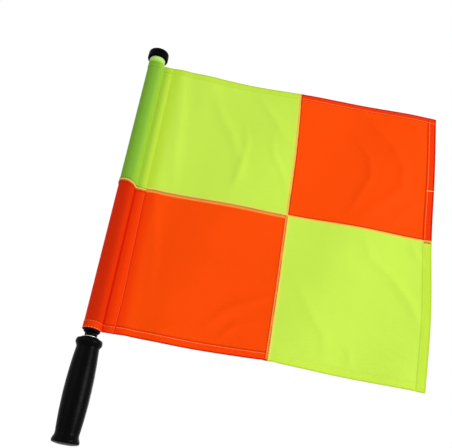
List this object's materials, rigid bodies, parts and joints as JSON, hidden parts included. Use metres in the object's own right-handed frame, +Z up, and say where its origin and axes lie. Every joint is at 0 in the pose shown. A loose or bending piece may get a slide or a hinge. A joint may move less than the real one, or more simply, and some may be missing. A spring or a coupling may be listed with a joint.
{
  "type": "linesman flag",
  "caption": "Linesman flag: a square two-colour quartered cloth sewn round a straight pole that turns freely in a barrel-shaped rubber grip.",
  "frame": {"origin": "middle of the grip, on the pole's axis", "axes": "+Z up along the pole from grip to cap, +X from the pole to the fly edge of the cloth, -Y is the face in the picture"},
  "size_m": [0.4203, 0.0316, 0.5327],
  "materials": {
    "grip_rubber": "matte, fine moulded grain",
    "tube_metal": "drawn, satin",
    "collar_plastic": "moulded, satin",
    "bush_bronze": "sintered, oiled",
    "steel": "zinc plated",
    "washer_steel": "polished by the turning neck",
    "plug_plastic": "moulded, satin",
    "pole_plastic": "drawn tube, satin",
    "ring_plastic": "moulded, takes the tint of the cloth",
    "cap_rubber": "matte",
    "cloth_yellow": "satin woven polyester, fluorescent",
    "cloth_orange": "satin woven polyester, fluorescent",
    "hem_thread": "polyester sewing thread",
    "seam_thread": "overlocked polyester thread"
  },
  "bodies": {
    "handle": {"grip": "grip_rubber", "handle_tube": "tube_metal", "handle_collar": "collar_plastic", "swivel_bush": "bush_bronze", "thrust_washer": "steel", "neck_washer": "washer_steel"},
    "pole": {"swivel_bolt": "steel", "lock_nut": "steel", "pole_plug": "plug_plastic", "pole_tube": "pole_plastic", "stop_ring": "ring_plastic", "top_cap": "cap_rubber", "hoist_square_yellow": "cloth_yellow", "hoist_square_orange": "cloth_orange", "fly_square_orange": "cloth_orange", "fly_square_yellow": "cloth_yellow", "sleeve_stitching": "hem_thread", "top_hem_stitching": "hem_thread", "bottom_hem_stitching": "hem_thread", "fly_hem_stitching": "hem_thread", "level_seam_stitching": "seam_thread", "upright_seam_stitching": "seam_thread"}
  },
  "joints": [
    {"name": "pole_swivel", "type": "hinge", "parent": "handle", "child": "pole", "pos_m": [0, 0, 0.0622], "axis": [0, 0, 1], "continuous": true}
  ]
}
